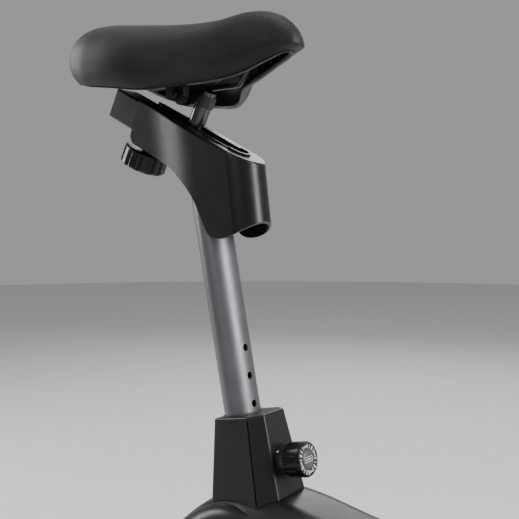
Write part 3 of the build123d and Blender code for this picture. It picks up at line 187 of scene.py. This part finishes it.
BLACK = (0.012, 0.012, 0.0135)
finish = {
    "frame_paint": surface("frame_paint", (0.018, 0.018, 0.020), 0.38, grain=(260, 0.00005), coat=0.2),
    "bolt_steel": surface("bolt_steel", (0.52, 0.52, 0.54), 0.34, 1.0, stretch=(1, 8, 1)),
    "cap_plastic": surface("cap_plastic", (0.014, 0.014, 0.015), 0.52),
    "foot_rubber": surface("foot_rubber", (0.018, 0.018, 0.018), 0.78, grain=(600, 0.00012)),
    "wheel_plastic": surface("wheel_plastic", (0.035, 0.035, 0.037), 0.5),
    "liner_plastic": surface("liner_plastic", (0.05, 0.05, 0.05), 0.5),
    "plug_plastic": surface("plug_plastic", BLACK, 0.5),
    "pulley_plastic": surface("pulley_plastic", (0.06, 0.06, 0.06), 0.45),
    "belt_rubber": surface("belt_rubber", (0.012, 0.012, 0.012), 0.7, grain=(500, 0.0001)),
    "flywheel_iron": surface("flywheel_iron", (0.16, 0.16, 0.165), 0.42, 0.9, grain=(700, 0.0001)),
    "motor_plastic": surface("motor_plastic", (0.05, 0.05, 0.055), 0.45),
    "crank_paint": surface("crank_paint", (0.012, 0.012, 0.012), 0.22, coat=0.5, grain=(300, 0.00004)),
    "pedal_plastic": surface("pedal_plastic", (0.016, 0.016, 0.017), 0.5),
    "casing_plastic": surface("casing_plastic", (0.011, 0.011, 0.013), 0.34, grain=(1400, 0.00003),
                              specular=0.32),
    "spine_plastic": surface("spine_plastic", (0.010, 0.010, 0.011), 0.36, grain=(1400, 0.00003),
                             specular=0.32),
    "holder_plastic": surface("holder_plastic", (0.016, 0.016, 0.018), 0.45),
    "inlet_plastic": surface("inlet_plastic", (0.008, 0.008, 0.008), 0.2),
    "collar_plastic": surface("collar_plastic", (0.009, 0.009, 0.0105), 0.36, grain=(1200, 0.00004),
                              specular=0.32),
    "knob_plastic": surface("knob_plastic", (0.005, 0.005, 0.006), 0.28, grain=(1000, 0.00003), specular=0.3),
    "dial_print": surface("dial_print", (0.016, 0.016, 0.017), 0.42),
    "dial_grey": surface("dial_grey", (0.065, 0.068, 0.072), 0.45, grain=(2600, 0.00012)),
    # painted highlight: white for the glint dot on the knob's boss
    "painted_glint_white": surface("painted_glint_white", (0.80, 0.80, 0.80), 0.35),
    "post_paint": surface("post_paint", (0.14, 0.143, 0.15), 0.42, 0.7, grain=(1800, 0.00003), tint=0.06),
    "slide_paint": surface("slide_paint", (0.006, 0.006, 0.007), 0.34, grain=(420, 0.00004), specular=0.32),
    "hood_plastic": surface("hood_plastic", (0.006, 0.006, 0.007), 0.32, grain=(1200, 0.00003), specular=0.30),
    "pillar_chrome": surface("pillar_chrome", (0.085, 0.085, 0.09), 0.2, 1.0, grain=(900, 0.00001)),
    "clamp_steel": surface("clamp_steel", (0.018, 0.018, 0.02), 0.3, 0.3),
    "rail_paint": surface("rail_paint", (0.05, 0.05, 0.053), 0.2, 0.6, coat=0.3, grain=(500, 0.00002)),
    "saddle_skin": leather("saddle_skin", (0.0062, 0.0060, 0.0065)),
    "pan_plastic": surface("pan_plastic", (0.010, 0.010, 0.011), 0.36),
    "grip_foam": surface("grip_foam", (0.014, 0.014, 0.014), 0.85, grain=(900, 0.0003), cells=True),
    "console_plastic": surface("console_plastic", (0.020, 0.020, 0.022), 0.38),
    "screen_plastic": surface("screen_plastic", (0.22, 0.26, 0.235), 0.16, coat=0.6, grain=(2000, 0.000004)),
    "board_laminate": surface("board_laminate", (0.03, 0.16, 0.07), 0.5),
    "button_grey": surface("button_grey", (0.30, 0.31, 0.33), 0.42),
    "button_red": surface("button_red", (0.42, 0.035, 0.03), 0.42),
    "button_green": surface("button_green", (0.04, 0.26, 0.08), 0.42),
    "print_pale": surface("print_pale", (0.52, 0.54, 0.57), 0.5),
    "print_dark": surface("print_dark", (0.02, 0.022, 0.022), 0.5),
    # painted shade: near-black with almost no gloss, for the shadowed gap of the collar's seam
    "seam_gap_shade": surface("seam_gap_shade", (0.001, 0.001, 0.001), 0.9, specular=0.02),
    "pale_floor": surface("pale_floor", (0.70, 0.70, 0.69), 0.7, grain=(60, 0.0002), tint=0.02),
}
for entry in frame["record"]["subparts"]:
    holder = nodes[entry["node"]]
    if not holder.material_slots:
        holder.data.materials.append(finish[entry["material_slot"]])
    for place in holder.material_slots:
        place.material = finish[entry["material_slot"]]


def piece(name, verts, faces, material, body=None, smooth=True):
    """A mesh from points in millimetres in the row frame, riding on a CAD body."""
    mesh = bpy.data.meshes.new(name)
    mesh.from_pydata([tuple(c * MM for c in v) for v in verts], [], faces)
    mesh.validate()
    mesh.update()
    made = bpy.data.objects.new(name, mesh)
    bpy.context.scene.collection.objects.link(made)
    made.data.materials.append(finish[material])
    for polygon in mesh.polygons:
        polygon.use_smooth = smooth
    if body:
        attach(made, body)
    return made


def strips(rows, closed_rows=True):
    """Faces between rows of equal length, each a closed loop, numbered row after row."""
    count = len(rows[0])
    faces = []
    for low in range(len(rows) - 1):
        for k in range(count if closed_rows else count - 1):
            step = (k + 1) % count
            a, b = low * count + k, low * count + step
            faces.append((a, b, b + count, a + count))
    return faces


def prism(outline, place, thickness, start=0):
    """A flat plate: a closed outline in a plane, thickened along the plane's normal."""
    count = len(outline)
    verts = [place @ Vector((u, v, start)) for u, v in outline]
    verts += [place @ Vector((u, v, start + thickness)) for u, v in outline]
    faces = [tuple(reversed(range(count))), tuple(range(count, 2 * count))]
    faces += [(k, (k + 1) % count, (k + 1) % count + count, k + count) for k in range(count)]
    return verts, faces


def merged(parts):
    """Several (points, faces) as one."""
    verts, faces = [], []
    for more, polygons in parts:
        base = len(verts)
        verts += [tuple(v) for v in more]
        faces += [tuple(i + base for i in polygon) for polygon in polygons]
    return verts, faces


def frame_at(origin, x_dir, normal):
    """A matrix whose local X and Z are the given directions."""
    z = Vector(normal).normalized()
    x = Vector(x_dir).normalized()
    y = z.cross(x)
    return Matrix.Translation(Vector(origin)) @ Matrix((x, y, z)).transposed().to_4x4()


def circle(radius, count=48):
    return [(radius * math.cos(math.tau * k / count), radius * math.sin(math.tau * k / count))
            for k in range(count)]


def rectangle(u, v, width, height, turn=0.0):
    a, b = width / 2, height / 2
    c, s = math.cos(turn), math.sin(turn)
    return [(u + p * c - q * s, v + p * s + q * c) for p, q in ((-a, -b), (a, -b), (a, b), (-a, b))]


# ------------------------------------------------------------------ saddle
# half outline from the nose to the rear: position along the bike, half width, height of the rim
SADDLE_OUTLINE = (
    (-103.5, 0, 959.5), (-105.5, 10, 959.5), (-112.5, 18.5, 959), (-125, 24.5, 956.5), (-146, 28.5, 949.5),
    (-168, 32.5, 941), (-188, 38.5, 935), (-206, 49, 931), (-220, 63.5, 927.5), (-233, 78, 924),
    (-247, 90.5, 921), (-264, 101, 919.5), (-285, 109, 920.5), (-310, 114.5, 924), (-335, 117, 927),
    (-358, 117, 930.5), (-380, 110, 935), (-397, 94, 939.5), (-408, 68, 945.5), (-412, 34, 954),
    (-413, 0, 958),
)
# the crown along the middle: position along the bike, height
SADDLE_TOP = ((-165, 1011.5), (-176, 1012), (-190, 1010.5), (-210, 1007), (-235, 1004.5), (-265, 1005.5),
              (-295, 1009), (-325, 1013), (-350, 1016.5), (-375, 1018))
SADDLE_NOSE, SPINE_FRONT, SPINE_REAR = -103.5, -165, -366
AROUND = 208  # points in each loop of the skin


def catmull(a, b, c, d, t):
    return [0.5 * (2 * q + (r - p) * t + (2 * p - 5 * q + 4 * r - s) * t * t + (3 * q - p - 3 * r + s) * t ** 3)
            for p, q, r, s in zip(a, b, c, d)]


def closed_curve(points, count):
    """Points evenly spaced along a smooth closed curve through the given ones."""
    dense = []
    total = len(points)
    for k in range(total):
        around = [points[(k + shift) % total] for shift in (-1, 0, 1, 2)]
        dense += [Vector(catmull(*around, step / 24)) for step in range(24)]
    lengths = [0.0]
    for k in range(len(dense)):
        lengths.append(lengths[-1] + (dense[(k + 1) % len(dense)] - dense[k]).length)
    made, k = [], 0
    for step in range(count):
        target = lengths[-1] * step / count
        while lengths[k + 1] < target:
            k += 1
        share = (target - lengths[k]) / (lengths[k + 1] - lengths[k])
        made.append(dense[k].lerp(dense[(k + 1) % len(dense)], share))
    return made


def top_height(x):
    points = SADDLE_TOP
    if x >= points[0][0]:
        return points[0][1]
    for k in range(len(points) - 1):
        if points[k + 1][0] <= x:
            around = [points[max(0, k - 1)], points[k], points[k + 1], points[min(len(points) - 1, k + 2)]]
            t = (x - points[k][0]) / (points[k + 1][0] - points[k][0])
            return catmull(*around, t)[1]
    return points[-1][1]


right_half = [(x, -y, z) for x, y, z in SADDLE_OUTLINE]
left_half = [(x, y, z) for x, y, z in reversed(SADDLE_OUTLINE[1:-1])]
rim = closed_curve(right_half + left_half, AROUND)
outward = []
for k in range(AROUND):
    tangent = rim[(k + 1) % AROUND] - rim[k - 1]
    outward.append(Vector((-tangent.y, tangent.x)).normalized())
if outward[0].x < 0:
    outward = [-n for n in outward]
# how far up the side the saddle is widest, then the powers that shape its section
BODY_SHAPE, NOSE_SHAPE = Vector((0.28, 2 / 2.55, 2 / 2.2)), Vector((0.12, 1.1, 1.08))


def saddle_row(rise, inset, drop=0.0, tuck=9.0):
    """One loop of the saddle's skin. rise runs from -1 at the rim, 0 at the widest line, to 1 on top."""
    row = []
    for point, normal in zip(rim, outward):
        spine_x = min(max(point.x, SPINE_REAR), SPINE_FRONT)
        top = top_height(spine_x) - inset
        nose = min(max((point.x - SPINE_FRONT) / (SADDLE_NOSE - SPINE_FRONT), 0), 1)
        bulge, width_power, height_power = BODY_SHAPE.lerp(NOSE_SHAPE, nose * nose * (3 - 2 * nose))
        widest = point.z + bulge * (top - point.z)
        at = Vector((point.x, point.y)) - normal * inset
        if rise <= 0:
            at = at - normal * (tuck * rise * rise)
            height = widest + rise * (widest - point.z + drop)
        else:
            angle = rise * math.pi / 2
            spine = Vector((spine_x, 0))
            at = spine + (at - spine) * (math.cos(angle) ** width_power if rise < 1 else 0.0)
            height = widest + (top - widest) * math.sin(angle) ** height_power
        row.append((at.x, at.y, height))
    return row


def weld(obj, distance=0.02):
    """Joins points that lie on each other."""
    work = bmesh.new()
    work.from_mesh(obj.data)
    bmesh.ops.remove_doubles(work, verts=work.verts, dist=distance * MM)
    bmesh.ops.recalc_face_normals(work, faces=work.faces)
    work.to_mesh(obj.data)
    work.free()
    for polygon in obj.data.polygons:
        polygon.use_smooth = True


RISES = [-1, -0.8, -0.6, -0.4, -0.2, 0] + [k / 22 for k in range(1, 23)]
SKIN = 6.0

skin_rows = [saddle_row(r, 0) for r in RISES]
lip_rows = [saddle_row(-1, SKIN * share, 1.6 * math.sin(math.pi * share)) for share in (0.75, 0.5, 0.25)]
under_rows = [saddle_row(r, SKIN) for r in reversed(RISES)]
rows = under_rows + lip_rows + skin_rows
saddle_skin = piece("saddle_skin", [v for row in rows for v in row], strips(rows), "saddle_skin", "saddle")
weld(saddle_skin)
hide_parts("saddle_cover")

# the moulded pan inside: a thin shell whose lip shows as a fine edge under the skin
PAN_OUT, PAN_IN = SKIN + 0.4, SKIN + 3.0
pan_rises = [r for r in RISES if r <= 0.86] + [1]
pan_rows = [saddle_row(r, PAN_IN) for r in reversed(pan_rises)]
pan_rows += [saddle_row(-1, PAN_IN - 0.4, 2.4), saddle_row(-1, SKIN - 3.2, 3.0), saddle_row(-1, SKIN - 3.8, 2.3),
             saddle_row(-1, SKIN - 3.2, 1.8), saddle_row(-1, PAN_OUT, 1.8)]
pan_rows += [saddle_row(r, PAN_OUT) for r in pan_rises[1:]]
saddle_shell = piece("saddle_shell", [v for row in pan_rows for v in row], strips(pan_rows), "pan_plastic",
                     "saddle")
weld(saddle_shell)
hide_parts("saddle_pan")

inner_rows = [saddle_row(r, PAN_IN) for r in RISES]
ceiling = BVHTree.FromPolygons([Vector(v) for row in inner_rows for v in row], strips(inner_rows))


def rim_height(x):
    """Height of the saddle's rim at a place along the bike."""
    for (x0, _, z0), (x1, _, z1) in zip(SADDLE_OUTLINE, SADDLE_OUTLINE[1:]):
        if x >= x1:
            return z0 + (z1 - z0) * min(max((x - x0) / (x1 - x0), 0), 1)
    return SADDLE_OUTLINE[-1][2]


def web(start, end, depth, thick=1.8, steps=24):
    """A rib hanging from the pan's ceiling along a straight line in plan."""
    a, b = Vector((*start, 0)), Vector((*end, 0))
    side = Vector((-(b - a).y, (b - a).x, 0)).normalized() * thick / 2
    columns = []
    for step in range(steps + 1):
        at = a.lerp(b, step / steps)
        hit = ceiling.ray_cast(Vector((at.x, at.y, 890)), Vector((0, 0, 1)))[0]
        if hit is not None and hit.z > rim_height(at.x) + 8:
            columns.append((at, hit.z + 0.6))
    ring = []
    for at, top in columns:
        low = max(top - depth, rim_height(at.x) + 3.5, 946)
        ring.append([at - side + Vector((0, 0, low)), at + side + Vector((0, 0, low)),
                     at + side + Vector((0, 0, top)), at - side + Vector((0, 0, top))])
    verts = [v for section in ring for v in section]
    faces = strips(ring)
    faces += [(3, 2, 1, 0), tuple(len(verts) - 4 + k for k in range(4))]
    return verts, faces


webs = [web((x, -half), (x, half), 17) for x, half in
        ((-132, 17), (-146, 20), (-160, 22), (-174, 24), (-188, 27))]
webs += [web((-122, y), (-205, y), 14) for y in (-9, 9)]
webs += [web((-200, 0), (-385, 0), 12)]
webs += [web((-215, sign * 12), (-350, sign * 92), 14) for sign in (-1, 1)]
webs += [web((-236, -50), (-236, 50), 14), web((-290, -96), (-290, 96), 14), web((-345, -98), (-345, 98), 14)]
verts, faces = merged(webs)
piece("saddle_webs", verts, faces, "pan_plastic", "saddle", smooth=False)

sockets = []
for x, y, width, length, low in ((-170, 0, 28, 20, 960), (-362, 47, 15, 18, 958), (-362, -47, 15, 18, 958)):
    place = frame_at((x, y, 0), (1, 0, 0), (0, 0, 1))
    outline = [(u * length / 2, v * width / 2) for u, v in
               ((-1, -0.7), (-0.7, -1), (0.7, -1), (1, -0.7), (1, 0.7), (0.7, 1), (-0.7, 1), (-1, 0.7))]
    sockets.append(prism(outline, place, 996 - low, low))
verts, faces = merged(sockets)
piece("rail_sockets", verts, faces, "pan_plastic", "saddle", smooth=False)

# ------------------------------------------------------------------ locking knob's face
COLLAR_TOP = Vector((-190, 0, 520))
LEAN = math.radians(11.2)  # the post leans back
PIN_DEPTH = 60.7  # the knob's axis below the collar's top
KNOB_FACE = 87.2  # the dial in front of the post's axis
BOSS_FRONT, BOSS_R = 54, 17.9
post_up = Vector((-math.sin(LEAN), 0, math.cos(LEAN)))
post_front = Vector((math.cos(LEAN), 0, math.sin(LEAN)))
pin_axis = COLLAR_TOP - post_up * PIN_DEPTH
dial = frame_at(pin_axis + post_front * KNOB_FACE, (0, 1, 0), post_front)


def turned(place, profile, material, body, name, count=48):
    """A round piece: radius and height pairs turned about a plane's normal."""
    rows = [[place @ Vector((u, v, h)) for u, v in circle(r, count)] for r, h in profile]
    return piece(name, [v for row in rows for v in row], strips(rows), material, body)


DIAL_MARKS = 20
marks = []
for k in range(DIAL_MARKS):
    angle = math.tau * (k + 0.5) / DIAL_MARKS
    c, s = math.cos(angle), math.sin(angle)
    if k % 5 == 0:
        marks.append(prism(rectangle(15.2 * c, 15.2 * s, 2.0, 6.0, angle), dial, 0.3))
    else:
        marks.append(prism(rectangle(15.3 * c, 15.3 * s, 5.2, 0.9 + 0.7 * (k % 3), angle), dial, 0.3))
# a blank plate in the middle, with a printed frame and bar
for u, v, width, height in ((0, 2.75, 17, 0.8), (0, -2.75, 17, 0.8), (-8.1, 0, 0.8, 6.3),
                            (8.1, 0, 0.8, 6.3), (0, 0, 12, 1.5)):
    marks.append(prism(rectangle(u, v, width, height), dial, 1.0))
verts, faces = merged(marks)
piece("dial_marks", verts, faces, "print_pale", "lock_knob", smooth=False)
turned(dial, ((0.01, 0.5), (10.6, 0.5), (11.0, 0.1), (11.0, 0)), "dial_grey", "lock_knob", "dial_centre")
verts, faces = prism(rectangle(0, 0, 17, 6.3), dial, 0.85)
piece("dial_plate", verts, faces, "dial_print", "lock_knob", smooth=False)
turned(dial, ((18.3, 0), (18.4, 0.5), (19.6, 0.5), (20.2, -0.4), (20.2, -1.2)), "knob_plastic", "lock_knob",
       "dial_ring")

# a painted highlight: a small white dot on the boss behind the knob, standing for a glint of light on the boss's
# edge
glint_angle = math.radians(44)
glint_out = post_up * math.sin(glint_angle) - Vector((0, 1, 0)) * math.cos(glint_angle)
glint_at = frame_at(pin_axis + post_front * BOSS_FRONT + glint_out * BOSS_R, post_front, glint_out)
turned(glint_at, ((0.01, 0.45), (1.2, 0.4), (1.5, 0.2), (1.5, -0.3)), "painted_glint_white", "frame", "painted_glint_dot", 24)

# ------------------------------------------------------------------ painted shade of the seam down each side of the collar
SEAM_ENDS = ((-6, 32.2, 34.5), (-103, 37.2, 47.9))  # along the post, in front of its axis, half width
SEAM_WIDTH, SEAM_THICK = 1.2, 0.7
seams = []
for sign in (1, -1):
    start, end = [COLLAR_TOP + post_up * height + post_front * along + Vector((0, sign * half, 0))
                  for height, along, half in SEAM_ENDS]
    out = (post_front * 0.34 + Vector((0, sign * 0.94, 0))).normalized()
    length = (end - start).length
    # a near-black strip set flush into the surface: painted shade for the gap between the collar's halves
    strip = rectangle(length / 2, 0, length, SEAM_WIDTH)
    seams.append(prism(strip, frame_at(start, end - start, out), SEAM_THICK, -SEAM_THICK))
verts, faces = merged(seams)
piece("collar_seam_shade", verts, faces, "seam_gap_shade", "frame", smooth=False)

# ------------------------------------------------------------------ hand grips
GRIP_RIBS, RIB_PITCH = 15, 4.2
grip_profile = [(0.01, -5.0), (10, -5.0), (15.5, -4.2), (17.6, -2.4), (18.0, 0), (17.6, 2.0), (16.8, 3.4)]
for rib in range(GRIP_RIBS):
    along = 5.0 + rib * RIB_PITCH
    grip_profile += [(17.3, along), (17.5, along + 1.2), (17.3, along + 2.4), (16.7, along + 3.1)]
grip_profile += [(17.4, 71), (18.0, 73.5), (17.4, 76), (15.0, 77), (14.1, 77)]
grip_parts = []
for sign in (1, -1):
    end, bend = Vector((215, 245 * sign, 1160)), Vector((330, 245 * sign, 1136))
    place = frame_at(end, (0, 1, 0), (bend - end).normalized())
    rows = [[place @ Vector((u, v, h)) for u, v in circle(r, 56)] for r, h in grip_profile]
    grip_parts.append(([v for row in rows for v in row], strips(rows)))
verts, faces = merged(grip_parts)
grips = piece("grips", verts, faces, "grip_foam", "handlebar")
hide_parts("hand_grips")

# ------------------------------------------------------------------ console face
TILT = math.radians(35)  # the face leans back from upright
console_out = Vector((-math.cos(TILT), 0, math.sin(TILT)))
face = frame_at((372, 0, 1292), (0, -1, 0), console_out)
SEGMENTS = {"a": (0, 1, 1), "b": (0.5, 0.5, 0), "c": (0.5, -0.5, 0), "d": (0, -1, 1), "e": (-0.5, -0.5, 0),
            "f": (-0.5, 0.5, 0), "g": (0, 0, 1)}
DIGITS = {0: "abcdef", 1: "bc", 2: "abged", 3: "abgcd", 5: "afgcd"}
PRINT_THICK, SCREEN_AT = 0.15, -0.38  # the figures, from the console's face
CLOCK_V = 43  # height of the top row of figures on the screen


def digit(number, u, v, height):
    """A seven-segment figure."""
    parts = []
    for key in DIGITS[number]:
        du, dv, flat = SEGMENTS[key]
        size = (height * 0.40, height * 0.09) if flat else (height * 0.09, height * 0.40)
        segment = rectangle(u + du * height * 0.5, v + dv * height * 0.5, *size)
        parts.append(prism(segment, face, PRINT_THICK, SCREEN_AT))
    return parts


screen = []
for k, number in enumerate((1, 2, 0, 0)):
    screen += digit(number, -42 + k * 17 + (5 if k > 1 else 0), CLOCK_V, 18)
screen += [prism(rectangle(-14.5, CLOCK_V + shift, 2, 2), face, PRINT_THICK, SCREEN_AT) for shift in (-4, 4)]
for k, number in enumerate((3, 5)):
    screen += digit(number, 42 + k * 15, CLOCK_V, 15)
for k, level in enumerate((1, 2, 3, 4, 5, 5, 4, 3, 4, 5, 3, 2)):
    for row in range(level):
        screen.append(prism(rectangle(-62 + k * 11.3, -9 + row * 5.6, 9, 4.2), face, PRINT_THICK, SCREEN_AT))
screen.append(prism(rectangle(0, 26, 148, 0.8), face, PRINT_THICK, SCREEN_AT))
verts, faces = merged(screen)
piece("screen_marks", verts, faces, "print_dark", "frame", smooth=False)

BUTTON_PITCH, BUTTON_V = 38, -42
icons = {
    "button_down": [(-3, 1.6), (3, 1.6), (0, -2.8)],
    "button_stop": rectangle(0, 0, 4.6, 4.6),
    "button_start": [(-1.8, -2.8), (2.8, 0), (-1.8, 2.8)],
    "button_up": [(-3, -1.6), (0, 2.8), (3, -1.6)],
}
for k, (name, outline) in enumerate(icons.items()):
    moved = [(u + BUTTON_PITCH * (k - 1.5), v + BUTTON_V) for u, v in outline]
    verts, faces = prism(moved, face, 0.25, 2.45)
    piece(f"{name}_icon", verts, faces, "print_pale" if "st" in name else "print_dark", name, smooth=False)

# ------------------------------------------------------------------ floor
FLOOR_R = 9  # metres
floor_mesh = bpy.data.meshes.new("floor")
floor_mesh.from_pydata([(u, v, 0) for u, v in circle(FLOOR_R, 64)], [], [tuple(range(64))])
floor = bpy.data.objects.new("floor", floor_mesh)
bpy.context.scene.collection.objects.link(floor)
floor.data.materials.append(finish["pale_floor"])
